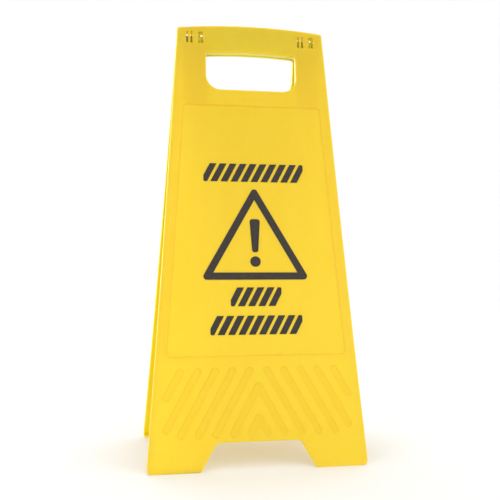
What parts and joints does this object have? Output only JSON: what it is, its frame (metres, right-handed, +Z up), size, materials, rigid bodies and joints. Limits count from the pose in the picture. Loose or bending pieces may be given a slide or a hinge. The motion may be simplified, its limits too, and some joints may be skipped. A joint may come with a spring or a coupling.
{
  "type": "floor warning sign",
  "caption": "Folding A-frame floor sign of two tapered moulded plastic sheets with hand-holes, pinned together at the top corners, each printed with a warning triangle and striped bars.",
  "frame": {"origin": "on the floor, at the middle of the four feet of the opened sign", "axes": "+Z up; +Y from the front sheet to the rear sheet; +X to the right of someone reading the front sheet, along the hinge axis"},
  "size_m": [0.3, 0.201, 0.6191],
  "materials": {
    "yellow_plastic": "glossy, slightly translucent moulded polypropylene",
    "pin_plastic": "moulded plastic pin in the sheet's colour",
    "black_ink": "satin printed ink"
  },
  "bodies": {
    "front": {"front_panel": "yellow_plastic", "left_hinge_pin": "pin_plastic", "right_hinge_pin": "pin_plastic", "front_warning_triangle": "black_ink", "front_message_bars": "black_ink"},
    "rear": {"rear_panel": "yellow_plastic", "rear_warning_triangle": "black_ink", "rear_message_bars": "black_ink"}
  },
  "joints": [
    {"name": "fold", "type": "hinge", "parent": "front", "child": "rear", "pos_m": [0, 0, 0.59766], "axis": [-1, 0, 0], "range_deg": [0, 17.2]}
  ]
}
